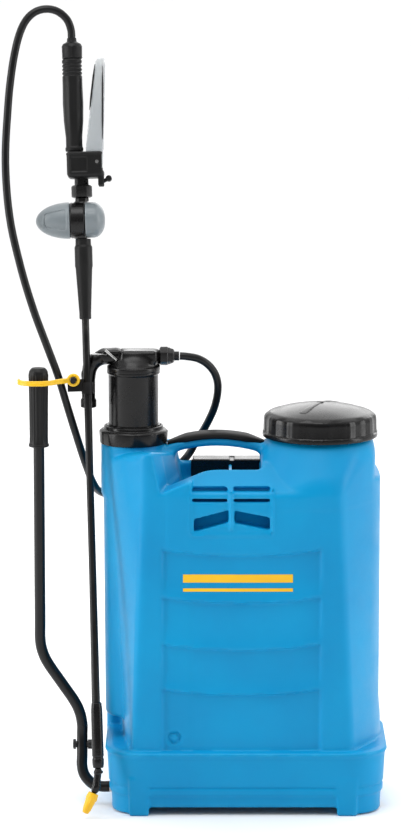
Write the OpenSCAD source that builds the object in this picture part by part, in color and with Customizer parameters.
// Knapsack sprayer: a blow-moulded tank carried on the back, an outside pressure chamber
// pumped by a side lever, and a hand lance on a hose.
// Millimetres. Z = 0 is the floor, +Y is the operator's back and +X is the filler side.
// Everything is drawn about the middle of the tank and moved by frame_shift at the end.

/* [Tank] */
// Width of the body at its shoulders
tank_w = 338; // [334:1:342]
// Depth of the body
tank_d = 196; // [194:1:198]
// Height of the shoulders, where the body starts to close in
shoulder_z = 398; // [394:1:400]
// Height of the top edge of the base skirt
skirt_z = 81; // [79:1:84]
// Height of the two feet
foot_h = 10; // [8:1:12]
// Wall thickness
wall = 3; // [2.5:0.5:3.5]

/* [Filler] */
// Outer radius of the filler neck
neck_r = 60; // [59:0.5:61]
// Outer radius of the screw cap
cap_r = 69; // [68:0.5:70]
// Height of the top of the cap
cap_top_z = 497; // [494:1:500]

/* [Pump] */
// Outer radius of the pressure chamber
chamber_r = 30.5; // [30:0.1:30.6]
// Height of the chamber's flange, where its lid begins
chamber_z = 536; // [532:1:540]
// Length of the crank between the axle and the link bolt
crank_r = 52; // [50:1:53]
// Angle that the lever swings, from parked upright to right down
lever_swing = 80; // [70:1:80]
// Radius of the lever tube
lever_r = 6.75; // [6:0.25:7]
// Height of the top of the lever grip
grip_top_z = 544; // [530:1:546]

/* [Lance] */
// Angle that the lance leans back against the pump link
lance_back = 11; // [10.5:0.1:11.5]
// Angle that the lance leans away from the tank
lance_out = 1.7; // [1.5:0.1:2]
// Radius of the lance tube
lance_r = 4.5; // [4:0.1:4.6]
// Diameter of the spray hose
hose_d = 9.6; // [9:0.1:10]

/* [Harness] */
// Width of a shoulder pad
pad_w = 46; // [42:1:46]
// Distance from the middle of the harness to the top of each strap
strap_x = 26; // [24:1:28]

/* [Hidden] */
$fn = 64;
HULL_FN = 32;
frame_shift = [48, -33, 0];

// Tank plan: half widths of the front panel at the skirt and at the shoulder, and the rounding.
front_low = 135;
front_high = 119;
lean_in = 18;
corner_r = 12;
crown_z = 437;
skirt_left = -165;
skirt_right = 177;
skirt_round = 45;
foot_x = [-125, 129];
foot_w = 24;

// Hand recess between the two necks, with its handle bar.
recess_x = [-92, 24];
recess_y = [-66, 84];
recess_z = 382;
rear_lip_z = 409;
bar_half = 13;
bar_t = 11;
grip_t = 6;

// Pump, from the outside in.
pump_x = -132;
pump_y = 5;
column_r = 39.5;
column_z = 446;
column_root_z = 372;
column_foot_z = 110;
bulge_r = 37;
pump_neck_r = 37.5;
pump_neck_z = 458;
nut_r = 41;
nut_z = 468;
cylinder_r = 33.4;
bore_r = 31.6;
cylinder_z = 118;
piston_z = 244;
gap = 0.3;
bush_r = 10;

// Filler, from the outside in.
cap_x = 96.5;
cap_y = 0;
filler_column_r = 65;
filler_column_z = 452;
neck_z = 470;
filler_bore_r = 56;
ledge_z = 456;

// Lever and its crank. The crank starts this far behind the upright.
axle_y = -45;
axle_z = 24;
crank_start = 20;
leg_x = -196;
grip_x = -247;
grip_r = 11.5;
grip_len = 98;
link_pin_r = 4;
crank_y = crank_r * sin(crank_start);
crank_z = crank_r * cos(crank_start);
stroke = crank_r * (cos(crank_start) - cos(crank_start + lever_swing));
slot_clear = 0.4;
axle_end_x = 150;
upright = 20.3;
upright_y = axle_y + upright;

// Lever route from the end of the axle up to the grip, seen from the axle.
lever_route = [
    [-162, 0, 0], [-172, 0, 0], [-183, 1, 3], [-192.5, 4.6, 12.5], [-196, 8.6, 23.6],
    [-196, 13.2, 36.2], [-196, 17.8, 48.9], [-196, upright, 62], [-196, upright, 74],
    [-199, upright, 89], [-206, upright, 104], [-221.5, upright, 127], [-237, upright, 150],
    [-244, upright, 165], [-247, upright, 181], [-247, upright, 205], [-247, upright, 240],
    [-247, upright, 300], [-247, upright, 380], [-247, upright, 450], [-247, upright, 514]];

// Link between the crank and the chamber.
arm_z = 553;
arm_x = -187;
plate_x = -182.5;
plate_t = 5;

// Lance, in its own frame: the nozzle's end is at the origin and the tube runs up +Z.
lance_foot = [-172.7, -112, 6];
tube_top = 612;
sleeve_z = [57, 137];
reg_z = 725;
reg_r = 22.5;
block_z = [776, 809];
block_half = 17;
grip_axis_x = -7;
grip_z = [809, 922];
trigger_pin = [20, 0, 795];
nozzle_tilt = 25;
strap_peg = [-204.5, -10, 528];

// Harness: its middle, the clamp on the rear lip, and how the straps spread to their hooks.
harness_x = -8;
anchor_z = 396;
strap_spread = 13;
hook_x = 107;

// Hose route, from the chamber's outlet to the lance's handle.
hose_route = [
    [-75.2, 5, 553], [-67, 5.1, 552.4], [-52.9, 7.5, 549.3], [-40.3, 12, 540.8],
    [-31.6, 17, 527.6], [-28.5, 23, 510], [-32.5, 35, 485], [-43, 55, 458], [-55, 80, 434],
    [-66, 104, 411], [-82, 112, 393], [-106, 114, 376], [-138, 110, 364], [-162, 99, 363],
    [-176, 80, 370], [-184, 55, 387], [-193, 30, 418], [-204, 13, 458], [-214, 4, 494],
    [-224, -3, 530], [-237.5, -6, 568], [-253.5, -4, 612], [-269, 2, 664], [-282, 8, 724],
    [-287, 18, 790], [-284, 34, 856], [-280.5, 44, 892], [-276, 51, 920], [-270, 57, 943],
    [-262, 62, 958.8], [-251, 65, 968.3], [-237.5, 67, 971.5], [-224, 68.5, 968.3],
    [-213, 69, 958.7], [-208.2, 69, 946.7], [-207.3, 69, 936.4]];

// ---------------------------------------------------------------- shared shapes

// A cylinder along X.
module bar_x(r, x0, x1, y = 0, z = 0)
    translate([x0, y, z]) rotate([0, 90, 0]) cylinder(r = r, h = x1 - x0);

// A cylinder along Y.
module bar_y(r, y0, y1, x = 0, z = 0)
    translate([x, y1, z]) rotate([90, 0, 0]) cylinder(r = r, h = y1 - y0);

// A ring with a square section, standing on z0.
module ring(outer, inner, z0, z1)
    translate([0, 0, z0]) difference() {
        cylinder(r = outer, h = z1 - z0);
        translate([0, 0, -1]) cylinder(r = inner, h = z1 - z0 + 2);
    }

// A turned shape from [radius, height] pairs, closed along its own axis.
module turned(points)
    rotate_extrude() polygon(concat([[0, points[0][1]]], points, [[0, points[len(points) - 1][1]]]));

// A block with round vertical edges.
module block(x, y, z, r)
    translate([0, 0, z[0]]) linear_extrude(z[1] - z[0]) offset(r = r) offset(delta = -r)
        polygon([[x[0], y[0]], [x[1], y[0]], [x[1], y[1]], [x[0], y[1]]]);

// A plate drawn in X and Z, with a thickness along Y.
module plate_y(y0, y1)
    translate([0, y1, 0]) rotate([90, 0, 0]) linear_extrude(y1 - y0) children();

// A plate drawn in Y and Z, with a thickness along X.
module plate_x(x0, x1)
    translate([x0, 0, 0]) rotate([90, 0, 90]) linear_extrude(x1 - x0) children();

// A round bar that bends: each step is [straight length, roll, bend radius, bend angle].
module bent_bar(r, steps, i = 0)
    if (i < len(steps))
        rotate([0, 0, steps[i][1]]) {
            cylinder(r = r, h = steps[i][0]);
            translate([steps[i][2], 0, steps[i][0]]) {
                if (steps[i][3] > 0)
                    rotate([90, 0, 180]) rotate_extrude(angle = steps[i][3])
                        translate([steps[i][2], 0]) circle(r = r);
                rotate([0, steps[i][3], 0]) translate([-steps[i][2], 0, 0])
                    bent_bar(r, steps, i + 1);
            }
        }

// The corners of one ring of a swept bar, about a point p and square to a direction t.
function ring_at(p, t, r, sides) =
    let (u = cross(t, [0, 1, 0]) / norm(cross(t, [0, 1, 0])), v = cross(u, t) / norm(cross(u, t)))
    [for (k = [0 : sides - 1]) p + r * (cos(360 * k / sides) * u + sin(360 * k / sides) * v)];

// A round bar swept along a line of points.
module swept(line, r, sides) {
    n = len(line);
    points = [for (i = [0 : n - 1])
        each ring_at(line[i], line[min(i + 1, n - 1)] - line[max(i - 1, 0)], r, sides)];
    walls = [for (i = [0 : n - 2], k = [0 : sides - 1])
        [i * sides + k, i * sides + (k + 1) % sides, (i + 1) * sides + (k + 1) % sides,
            (i + 1) * sides + k]];
    ends = [[for (k = [sides - 1 : -1 : 0]) k], [for (k = [0 : sides - 1]) (n - 1) * sides + k]];
    polyhedron(points, concat(walls, ends));
}

module at_pump() translate([pump_x, pump_y, 0]) children();
module at_cap() translate([cap_x, cap_y, 0]) children();
module at_axle() translate([0, axle_y, axle_z]) children();
module on_lance() translate(lance_foot) rotate([-lance_back, -lance_out, 0]) children();
module at_nozzle() translate([-3, 0, 34]) rotate([0, 180 + nozzle_tilt, 0]) children();

// A point on a smooth curve through p1 and p2, with p0 and p3 beyond them.
function smooth(p0, p1, p2, p3, t) =
    0.5 * (2 * p1 + (p2 - p0) * t + (2 * p0 - 5 * p1 + 4 * p2 - p3) * t * t
        + (3 * p1 - p0 - 3 * p2 + p3) * t * t * t);

// The smooth curve through a route, with n steps between its points.
function curve(p, n) = concat(
    [for (i = [0 : len(p) - 2], k = [0 : n - 1])
        smooth(p[max(i - 1, 0)], p[i], p[i + 1], p[min(i + 2, len(p) - 1)], k / n)],
    [p[len(p) - 1]]);

// ---------------------------------------------------------------- tank

// Outline of the body from above; the side facets run back from the front panel.
function facet_x(edge, front) = 0.36 * front + 0.64 * (edge - 4);
function body_plan(left, front) = [
    [-front, -0.475 * tank_d], [0, -tank_d / 2], [front, -0.475 * tank_d],
    [facet_x(tank_w / 2, front), -0.27 * tank_d], [tank_w / 2 - 4, -0.08 * tank_d],
    [tank_w / 2, 0.2 * tank_d], [tank_w / 2 - 8, tank_d / 2], [-left + 8, tank_d / 2],
    [-left, 0.2 * tank_d], [-left + 4, -0.08 * tank_d], [-facet_x(left, front), -0.27 * tank_d]];

// One thin level of the body, grown or shrunk all round.
module level(z, left, front, grow)
    translate([0, 0, z]) linear_extrude(0.2) offset(r = corner_r + grow, $fn = HULL_FN)
        offset(delta = -corner_r) polygon(body_plan(left, front));

// The closed form of the body: skin = 0 is the outside and skin = wall the inside.
// Its back left edge stays upright behind the leaning side.
module body_form(skin) {
    block([-tank_w / 2 + 2 + skin, -96], [0.2 * tank_d + skin, tank_d / 2 - skin],
        [skirt_z - 20 + skin, shoulder_z - 8 - skin], 24);
    hull() {
        level(skirt_z - 26 + skin, tank_w / 2 - lean_in, front_low, -6 - skin);
        level(skirt_z + 4, tank_w / 2 - lean_in, front_low, -skin);
        level(shoulder_z, tank_w / 2, front_high, -skin);
        level(crown_z - skin, tank_w / 2, front_high, -22 - skin);
    }
}

// The skirt that the body stands in.
module skirt_form()
    difference() {
        block([skirt_left, skirt_right], [-tank_d / 2 - 2, tank_d / 2 + 2], [foot_h, skirt_z],
            skirt_round, $fn = 96);
        // tunnel for the lever's axle
        translate([skirt_left - 1, axle_y - 11, foot_h - 1])
            cube([skirt_right - skirt_left + 2, 22, axle_z + 11 - foot_h]);
        // the underside is hollow between its walls
        block([skirt_left + 8, skirt_right - 8], [-tank_d / 2 + 6, tank_d / 2 - 6],
            [foot_h - 1, skirt_z - 30], skirt_round - 8, $fn = 96);
    }

module feet()
    for (x = foot_x)
        translate([x - foot_w / 2, -tank_d / 2, 0]) cube([foot_w, tank_d, axle_z + 16]);

// The recess for the hand, open at the top; its front lip rises towards the filler.
module recess_form(skin) {
    translate([recess_x[0] - skin, recess_y[0] - skin, recess_z - skin])
        cube([recess_x[1] - recess_x[0] + 2 * skin, recess_y[1] - recess_y[0] + 2 * skin, 100]);
    plate_y(-tank_d, -10) polygon([[-104 - skin, 398 - skin], [-32, 428 - skin],
        [recess_x[1] + skin, 435 - skin], [recess_x[1] + skin, 480], [-104 - skin, 480]]);
    translate([recess_x[0] - skin, 10, rear_lip_z - skin])
        cube([recess_x[1] - recess_x[0] + 2 * skin, tank_d, 100]);
}

// The arch of the handle between the two necks, from a height below its top to another.
function arch(x, drop) = [x, 461 - drop - 11 * pow((x + 30) / 62, 2)];
module arch_band(x0, x1, low, high)
    polygon(concat([for (x = [x0 : 6 : x1]) arch(x, low)], [for (x = [x1 : -6 : x0]) arch(x, high)]));

module tank() color("deepskyblue") {
    difference() {
        union() {
            difference() {
                body_form(0);
                recess_form(0);
            }
            skirt_form();
            feet();
            at_pump() ring(bulge_r, 1, column_foot_z, shoulder_z + 4);
            at_pump() ring(column_r, 1, column_root_z, column_z);
            at_pump() ring(pump_neck_r, 1, column_root_z, pump_neck_z);
            at_cap() ring(filler_column_r, 1, column_root_z, filler_column_z);
            at_cap() ring(neck_r, 1, column_root_z, neck_z);
            plate_y(-bar_half, bar_half) arch_band(-98, 38, grip_t, grip_t + bar_t);
        }
        difference() {
            body_form(wall);
            recess_form(wall);
        }
        at_pump() translate([0, 0, column_foot_z + wall]) cylinder(r = cylinder_r + 0.5, h = 400);
        at_cap() translate([0, 0, shoulder_z]) cylinder(r = filler_bore_r - 3, h = 100);
        at_cap() translate([0, 0, ledge_z]) cylinder(r = filler_bore_r, h = 100);
        at_axle() bar_x(bush_r, skirt_left - 1, skirt_right + 1);
    }
}

// ---------------------------------------------------------------- fittings on the tank

// The soft cover on top of the handle bar.
module handle_grip() color("black") {
    plate_y(-bar_half - 2, bar_half + 2) arch_band(-88, 26, 0, grip_t - 0.05);
    for (side = [-1, 1])
        plate_y(side * (bar_half + 1.1) - 0.9, side * (bar_half + 1.1) + 0.9)
            arch_band(-88, 26, grip_t - 1, grip_t + 5);
}

module pump_cylinder() color("dimgray") at_pump() {
    ring(cylinder_r, bore_r, cylinder_z, pump_neck_z);
    ring(pump_neck_r, bore_r, pump_neck_z, pump_neck_z + 3);
    ring(cylinder_r, 6, cylinder_z - 4, cylinder_z);
}

module cylinder_nut() color("black") at_pump() difference() {
    turned([[nut_r - 0.8, column_z], [nut_r, column_z + 1], [nut_r, nut_z - 8], [nut_r - 3, nut_z - 2],
        [nut_r - 6, nut_z]]);
    translate([0, 0, column_z - 1]) cylinder(r = pump_neck_r + gap, h = nut_z - column_z - 3);
    cylinder(r = chamber_r + 2.5, h = nut_z + 1);
}

// The collar that the chamber slides in, held down by the nut.
module chamber_guide() color("black") at_pump() {
    ring(pump_neck_r, chamber_r + 0.1, pump_neck_z + 3, nut_z - 4);
    ring(chamber_r + 2.3, chamber_r + 0.1, nut_z - 4, nut_z + 1);
}

module intake_valve() color("dimgray") at_pump() difference() {
    translate([0, 0, cylinder_z - 26]) cylinder(r = 11, h = 22);
    translate([0, 0, cylinder_z - 20]) cylinder(r = 7.6, h = 20);
    cylinder(r = 5, h = cylinder_z);
}

module intake_ball() color("silver") at_pump() translate([0, 0, cylinder_z - 14.9]) sphere(r = 7);

module filler_strainer() color("darkgray") at_cap() {
    ring(filler_bore_r - gap, filler_bore_r - 6, ledge_z, ledge_z + 3);
    difference() {
        translate([0, 0, 410]) cylinder(r = filler_bore_r - 4, h = ledge_z - 410);
        translate([0, 0, 412]) cylinder(r = filler_bore_r - 6, h = 60);
        for (a = [0 : 30 : 150])
            rotate([0, 0, a]) translate([-60, -6, 416]) cube([120, 12, 30]);
    }
}

module axle_bushes() color("dimgray") at_axle()
    for (x = foot_x)
        difference() {
            bar_x(bush_r, x - foot_w / 2 - 1, x + foot_w / 2 + 1);
            bar_x(lever_r + 0.1, x - foot_w, x + foot_w);
        }

// ---------------------------------------------------------------- filler cap

module cap_seal() color("dimgray") at_cap() ring(neck_r - 0.5, filler_bore_r - 3, neck_z, neck_z + 3);

module filler_cap() color("black") at_cap() difference() {
    union() {
        turned([[cap_r + 1.5, ledge_z - 0.5], [cap_r + 1.5, ledge_z + 4], [cap_r, ledge_z + 6],
            [cap_r - 0.5, 478], [cap_r - 4, 483], [cap_r - 24, 491], [15, cap_top_z - 1], [9, cap_top_z]]);
        for (a = [0 : 30 : 330])
            rotate([0, 0, a]) translate([cap_r - 0.6, 0, ledge_z + 6]) cylinder(r = 2, h = 20);
    }
    translate([0, 0, ledge_z - 1]) cylinder(r = neck_r + 1, h = neck_z + 4.5 - ledge_z);
    cylinder(r = 4.2, h = cap_top_z + 1);
}

// The breather valve in the middle of the cap.
module cap_vent() color("dimgray") at_cap() {
    translate([0, 0, neck_z + 1]) cylinder(r = 4, h = cap_top_z - neck_z - 1);
    translate([0, 0, neck_z - 3]) cylinder(r = 8, h = 6);
}

// ---------------------------------------------------------------- pressure chamber and link

module pressure_chamber() color("black") at_pump() {
    ring(chamber_r, chamber_r - 3, piston_z + 6, chamber_z);
    ring(chamber_r + 2, chamber_r, chamber_z - 3, chamber_z);
}

module chamber_lid() color("black") at_pump() {
    turned([[chamber_r + 2, chamber_z], [chamber_r + 2, chamber_z + 5], [24, chamber_z + 13]]);
    block([-16, 29], [-17, 17], [chamber_z + 13, chamber_z + 25], 6);
}

module piston() color("dimgray") at_pump() difference() {
    turned([[chamber_r, piston_z - 6], [chamber_r, piston_z - 3], [28, piston_z - 3],
        [28, piston_z + 3], [chamber_r, piston_z + 3], [chamber_r, piston_z + 6],
        [chamber_r - 3.1, piston_z + 6], [chamber_r - 3.1, piston_z + 20]]);
    translate([0, 0, piston_z + 6]) cylinder(r = 5, h = 20);
    translate([0, 0, piston_z - 7]) cylinder(r = 3.5, h = 20);
}

module piston_seal() color("black") at_pump() ring(bore_r - 0.1, 28, piston_z - 3, piston_z + 3);

module delivery_ball() color("silver") at_pump() translate([0, 0, piston_z + 8.9]) sphere(r = 4.5);

module delivery_tube() color("silver") at_pump() translate([14, 0, 0])
    ring(3.5, 2.3, piston_z + 22, chamber_z);

module outlet_spout() color("black") {
    bar_x(6, pump_x + 29, -83, pump_y, arm_z);
    bar_x(5.6, -83, -76, pump_y, arm_z);
}

module outlet_nut() color("black") difference() {
    translate([-100, pump_y, arm_z]) rotate([0, 90, 0]) cylinder(r = 11.5, h = 16, $fn = 6);
    bar_x(6, -101, -80, pump_y, arm_z);
}

// The arm over the top of the chamber, ending in a socket for the link rod.
module link_arm() color("black") difference() {
    union() {
        translate([pump_x - 16, pump_y, arm_z]) rotate([0, -90, 0])
            bent_bar(8.5, [[18, 180, 21, 90], [42, 0, 0, 0]]);
        translate([pump_x - 36, pump_y - 10, arm_z - 3.5]) cube([20, 20, 12]);
        translate([arm_x, pump_y, arm_z - 21 - 42]) cylinder(r = 9.6, h = 6);
    }
    translate([arm_x, pump_y, arm_z - 70]) cylinder(r = link_pin_r + 0.6, h = 28);
    at_pump() turned([[33, chamber_z - 1], [33, chamber_z + 5.2], [24.2, chamber_z + 13.2]]);
    bar_y(1.7, -40, 40, -159, arm_z + 3);
}

// The wire pin that locks the arm to the lid.
module link_lock_pin() color("silver") {
    bar_y(1.6, pump_y - 13, pump_y + 13, -159, arm_z + 3);
    rod([-166, pump_y - 13, arm_z + 9], [-152, pump_y - 13, arm_z - 3], 1.5);
}

// A straight round rod between two points.
module rod(a, b, r) {
    v = b - a;
    translate(a) rotate([0, acos(v[2] / norm(v)), atan2(v[1], v[0])]) cylinder(r = r, h = norm(v));
}

// Where the link bolt is, seen from the axle, with the lever swung by an angle.
function bolt_at(a) = crank_r * [sin(crank_start + a), cos(crank_start + a)];

// The rod falls in step with the lever's angle, so the slot follows the bolt's path past the rod.
module link_slot()
    for (a = [0 : 2 : lever_swing])
        translate(bolt_at(a) + [0, stroke * a / lever_swing]) circle(r = link_pin_r + slot_clear);

module link_rod() color("black") {
    rod([arm_x, pump_y, arm_z - 45], [plate_x + 2.5, axle_y + 34, axle_z + 64], link_pin_r);
    at_axle() plate_x(plate_x, plate_x + plate_t) difference() {
        translate([crank_y - 6.1, crank_z - 11.5])
            square([crank_r - crank_y + 17.6, 30]);
        link_slot();
    }
}

// ---------------------------------------------------------------- lever

// The rod through the base that the lever turns on.
module lever_axle() color("black") at_axle() bar_x(lever_r, lever_route[0][0], axle_end_x);

// The tube leaves the axle, rises past the link bolt and cranks outwards to the grip.
module lever_tube() color("black") at_axle() difference() {
    swept(curve(lever_route, 3), lever_r, 16);
    bar_x(link_pin_r + 0.05, leg_x - 10, leg_x + 10, crank_y, crank_z);
}

module lever_grip() color("black") translate([grip_x, upright_y, 0]) difference() {
    turned([[grip_r + 1, grip_top_z - grip_len], [grip_r + 1, grip_top_z - grip_len + 2],
        [grip_r - 0.5, grip_top_z - grip_len + 14], [grip_r, grip_top_z - 8],
        [grip_r - 2, grip_top_z - 3], [grip_r - 6, grip_top_z]]);
    translate([0, 0, grip_top_z - grip_len - 1]) cylinder(r = lever_r + 0.1, h = grip_len - 5);
}

module link_bolt() color("dimgray") at_axle() {
    bar_x(link_pin_r, leg_x - lever_r - 0.6, plate_x + plate_t + 5.3, crank_y, crank_z);
    bar_x(6.6, leg_x - lever_r - 4.6, leg_x - lever_r - 0.6, crank_y, crank_z);
    bar_x(6, leg_x + lever_r + 0.3, plate_x - 0.4, crank_y, crank_z);
    bar_x(6.6, plate_x + plate_t + 0.4, plate_x + plate_t + 5.3, crank_y, crank_z);
}

module axle_cap() color("dimgray") at_axle() {
    bar_x(9, axle_end_x, axle_end_x + 4);
}

// ---------------------------------------------------------------- lance

module lance_clip() color("black") {
    on_lance() translate([0, 0, 520]) difference() {
        union() {
            cylinder(r = 7.2, h = 14, center = true);
            translate([-24, -4, -4]) cube([20, 8, 15]);
        }
        cylinder(r = lance_r + 0.05, h = 40, center = true);
    }
    bar_y(3.6, strap_peg[1] - 22, strap_peg[1] - 2, strap_peg[0], strap_peg[2]);
}

// The strap hooks in front of the parked lever's grip and is open towards the operator.
strap_path = [[-210, -24.5], [-222, -31], [-233, -42], [-246, -46], [-260, -43], [-270, -34],
    [-271, -24]];
module lever_strap() color("gold") {
    translate([strap_peg[0], 0, strap_peg[2]]) difference() {
        bar_y(7, -27, -22);
        bar_y(3.9, -30, -20);
    }
    translate([0, 0, strap_peg[2] - 3.2]) linear_extrude(5) band(strap_path, 3);
}

module lance_tube() color("black") on_lance() ring(lance_r, lance_r - 1.2, sleeve_z[0] + 6, tube_top);

module lance_sleeve() color("black") on_lance() difference() {
    translate([0, 0, sleeve_z[0]]) cylinder(r = 6.6, h = sleeve_z[1] - sleeve_z[0]);
    translate([0, 0, sleeve_z[0] + 6]) cylinder(r = lance_r, h = 90);
}

module nozzle_elbow() color("black") on_lance() {
    rod([-3, 0, 34], [-0.1, 0, sleeve_z[0] - 0.6], 4.4);
    at_nozzle() cylinder(r = 4.4, h = 8);
    translate([-3, 0, 34]) sphere(r = 4.4);
}

module nozzle_cap() color("gold") on_lance() at_nozzle() difference() {
    turned([[6.6, 8.2], [6.6, 16], [5.8, 18], [5.6, 30], [3.4, 35]]);
    translate([0, 0, 20]) cylinder(r = 1.2, h = 20);
}

module lance_nut() color("black") on_lance() difference() {
    turned([[7.2, tube_top - 8], [7.2, tube_top], [10.8, 668], [10.8, 693], [9.6, 695], [9.6, 702]]);
    translate([0, 0, tube_top - 9]) cylinder(r = lance_r, h = 9);
}

module regulator_body() color("black") on_lance() difference() {
    union() {
        bar_x(reg_r - 0.3, -15, 3, 0, reg_z);
        translate([0, 0, 702]) cylinder(r = 9, h = 20);
        translate([0, 0, reg_z]) cylinder(r = 8.4, h = 27);
    }
    bar_x(6, -20, -5, 0, reg_z);
    translate([3.1, -30, reg_z - reg_r - 0.4]) cube([30, 60, 2 * reg_r + 0.8]);
}

// Half an ellipse turned about X, which makes the pale cover of the regulator.
module regulator_shell() color("silver") on_lance() translate([-15, 0, reg_z]) rotate([0, -90, 0])
    difference() {
        turned([for (a = [0 : 7.5 : 90]) [reg_r * cos(a) + 0.01, 42 * sin(a)]]);
        translate([0, 0, -1]) cylinder(r = 6, h = 12);
    }

module regulator_knob() color("silver") on_lance() translate([3.4, 0, reg_z]) rotate([0, 90, 0])
    turned([[reg_r - 1, 0], [reg_r, 3], [reg_r, 14], [reg_r - 3, 21], [reg_r - 9, 24.6]]);

module lance_coupling() color("black") on_lance() {
    translate([0, 0, 752]) cylinder(r = 12.6, h = 16, $fn = 6);
    translate([0, 0, 768]) cylinder(r = 8.4, h = block_z[0] - 768);
}

// ---------------------------------------------------------------- hand valve and grip

module valve_body() color("black") on_lance() difference() {
    block([-17, 28], [-block_half, block_half], block_z, 7);
    translate([-1, -15, 784]) cube([40, 30, 40]);
    translate([trigger_pin[0], 0, trigger_pin[2]]) bar_y(2.05, -30, 30);
    translate([-7, 0, block_z[0] + 4]) cylinder(r = 3.3, h = 40);
}

module valve_stem() color("silver") on_lance() translate([-7, 0, block_z[0] + 10])
    cylinder(r = 3, h = 20);

// A channel that closes over the grip when it is squeezed.
module trigger() color("whitesmoke") on_lance() difference() {
    union() {
        for (side = [-1, 1])
            plate_y(side * 13.4 - 1, side * 13.4 + 1) trigger_side();
        plate_y(-14, 14) polygon([[24, 800], [27, 800], [32, 921], [29.5, 921]]);
        translate([trigger_pin[0], 0, trigger_pin[2]]) bar_y(5, -14.4, 14.4);
    }
    translate([trigger_pin[0], 0, trigger_pin[2]]) bar_y(2.15, -30, 30);
}

module trigger_side() polygon([[13, 789], [26, 789], [27, 806], [32, 921], [30, 925], [24, 925],
    [20, 917], [5, 812], [5, 800]]);

module trigger_pivot() color("silver") on_lance()
    translate([trigger_pin[0], 0, trigger_pin[2]]) bar_y(2, -block_half, block_half);

// The small catch under the block that holds the trigger shut or open.
module trigger_latch() color("black") on_lance() translate([24, 0, 770.4]) {
    bar_y(2.6, -8, 8);
    rod([0, 0, 0], [8, 0, 4], 2.4);
    translate([9.5, 0, 4.5]) bar_y(3.6, -7, 7);
}

module gun_grip() color("black") on_lance() translate([grip_axis_x, 0, 0]) difference() {
    turned([[10.6, grip_z[0]], [10.4, 826], [12.4, 846], [13, 866], [12.6, 890], [12.8, 902],
        [12, 904], [12.8, 906], [12, 909], [12.8, 911], [12, 914], [12.8, 916], [12.2, grip_z[1]]]);
    translate([0, 0, grip_z[0] - 1]) cylinder(r = 5, h = 120);
}

module gun_filter() color("gold") on_lance() translate([grip_axis_x, 0, 0])
    ring(4.6, 3.4, 830, 918);

module gun_hose_nut() color("black") on_lance() translate([grip_axis_x, 0, 0]) {
    turned([[11.6, grip_z[1]], [12.8, grip_z[1] + 2], [12.8, 938], [10.5, 942], [5.6, 942], [5.6, 948]]);
}

// ---------------------------------------------------------------- harness

// Side view of one shoulder strap, from its anchor on the tank round to the lower hook.
pad_route = [[112, 398], [136, 396], [164, 366], [178, 314], [182, 258], [178, 212]];
web_route = [[178, 186], [171, 150], [154, 104], [133, 66], [114, 48]];

// A band of a given thickness along a route in Y and Z.
function beside(p, t) = [for (i = [0 : len(p) - 1])
    let (d = p[min(i + 1, len(p) - 1)] - p[max(i - 1, 0)]) p[i] + t * [d[1], -d[0]] / norm(d)];
module band(route, t)
    polygon(concat(beside(curve(route, 3), t / 2),
        [for (i = [3 * (len(route) - 1) : -1 : 0]) beside(curve(route, 3), -t / 2)[i]]));

// The straps start side by side at the top of the tank's back and spread towards their hooks.
module on_strap(side)
    translate([harness_x + side * strap_x, 0, anchor_z]) rotate([0, -side * strap_spread, 0])
        translate([0, 0, -anchor_z]) children();

module back_pad() color("black")
    translate([-94, tank_d / 2 + 0.6, 120]) cube([188, 13, 252]);

// The bar that clamps both straps to the tank's rear lip.
module strap_anchor() color("black")
    translate([harness_x - strap_x - 25, tank_d / 2 + 0.6, anchor_z - 10]) cube([2 * strap_x + 50, 13, 23]);

module shoulder_pad(side) color("black")
    on_strap(side) plate_x(-pad_w / 2, pad_w / 2) band(pad_route, 9);
module shoulder_pad_left() shoulder_pad(-1);
module shoulder_pad_right() shoulder_pad(1);

module webbing(side) color("black") on_strap(side) plate_x(-13, 13) band(web_route, 2.4);
module webbing_left() webbing(-1);
module webbing_right() webbing(1);

// A ladder buckle between the pad and its webbing.
module buckle(side) color("dimgray") on_strap(side) difference() {
    translate([-19, 174, 187]) cube([38, 9, 24]);
    translate([-20, 166.5, 195.8]) cube([40, 20, 8.4]);
}
module buckle_left() buckle(-1);
module buckle_right() buckle(1);

module strap_hooks() color("dimgray")
    for (side = [-1, 1])
        translate([harness_x + side * hook_x - 18, tank_d / 2 + 2, 30]) cube([36, 9, 14]);

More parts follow.
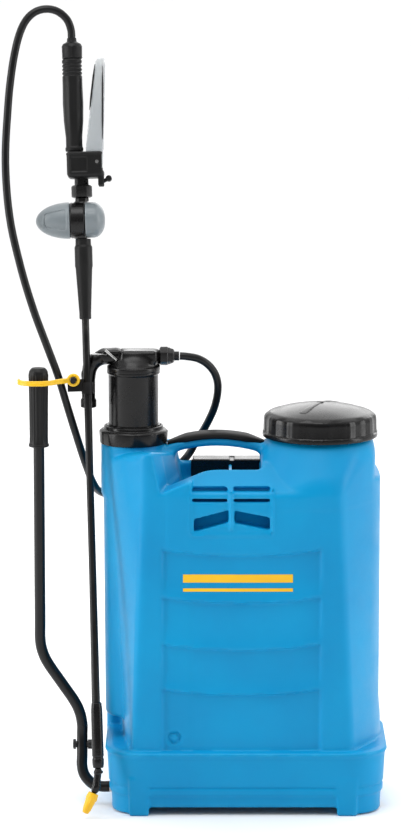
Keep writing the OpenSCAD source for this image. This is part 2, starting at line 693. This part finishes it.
// ---------------------------------------------------------------- hose

module hose() color("black") swept(curve(hose_route, 2), hose_d / 2, 10);

// ---------------------------------------------------------------- what is drawn

translate(frame_shift) tank();
translate(frame_shift) handle_grip();
translate(frame_shift) pump_cylinder();
translate(frame_shift) cylinder_nut();
translate(frame_shift) chamber_guide();
translate(frame_shift) intake_valve();
translate(frame_shift) intake_ball();
translate(frame_shift) filler_strainer();
translate(frame_shift) axle_bushes();
translate(frame_shift) cap_seal();
translate(frame_shift) filler_cap();
translate(frame_shift) cap_vent();
translate(frame_shift) pressure_chamber();
translate(frame_shift) chamber_lid();
translate(frame_shift) piston();
translate(frame_shift) piston_seal();
translate(frame_shift) delivery_ball();
translate(frame_shift) delivery_tube();
translate(frame_shift) outlet_spout();
translate(frame_shift) outlet_nut();
translate(frame_shift) link_arm();
translate(frame_shift) link_lock_pin();
translate(frame_shift) link_rod();
translate(frame_shift) lever_axle();
translate(frame_shift) lever_tube();
translate(frame_shift) lever_grip();
translate(frame_shift) link_bolt();
translate(frame_shift) axle_cap();
translate(frame_shift) lance_clip();
translate(frame_shift) lever_strap();
translate(frame_shift) lance_tube();
translate(frame_shift) lance_sleeve();
translate(frame_shift) nozzle_elbow();
translate(frame_shift) nozzle_cap();
translate(frame_shift) lance_nut();
translate(frame_shift) regulator_body();
translate(frame_shift) regulator_shell();
translate(frame_shift) regulator_knob();
translate(frame_shift) lance_coupling();
translate(frame_shift) valve_body();
translate(frame_shift) valve_stem();
translate(frame_shift) trigger();
translate(frame_shift) trigger_pivot();
translate(frame_shift) trigger_latch();
translate(frame_shift) gun_grip();
translate(frame_shift) gun_filter();
translate(frame_shift) gun_hose_nut();
translate(frame_shift) back_pad();
translate(frame_shift) strap_anchor();
translate(frame_shift) shoulder_pad_left();
translate(frame_shift) shoulder_pad_right();
translate(frame_shift) webbing_left();
translate(frame_shift) webbing_right();
translate(frame_shift) buckle_left();
translate(frame_shift) buckle_right();
translate(frame_shift) strap_hooks();
translate(frame_shift) hose();
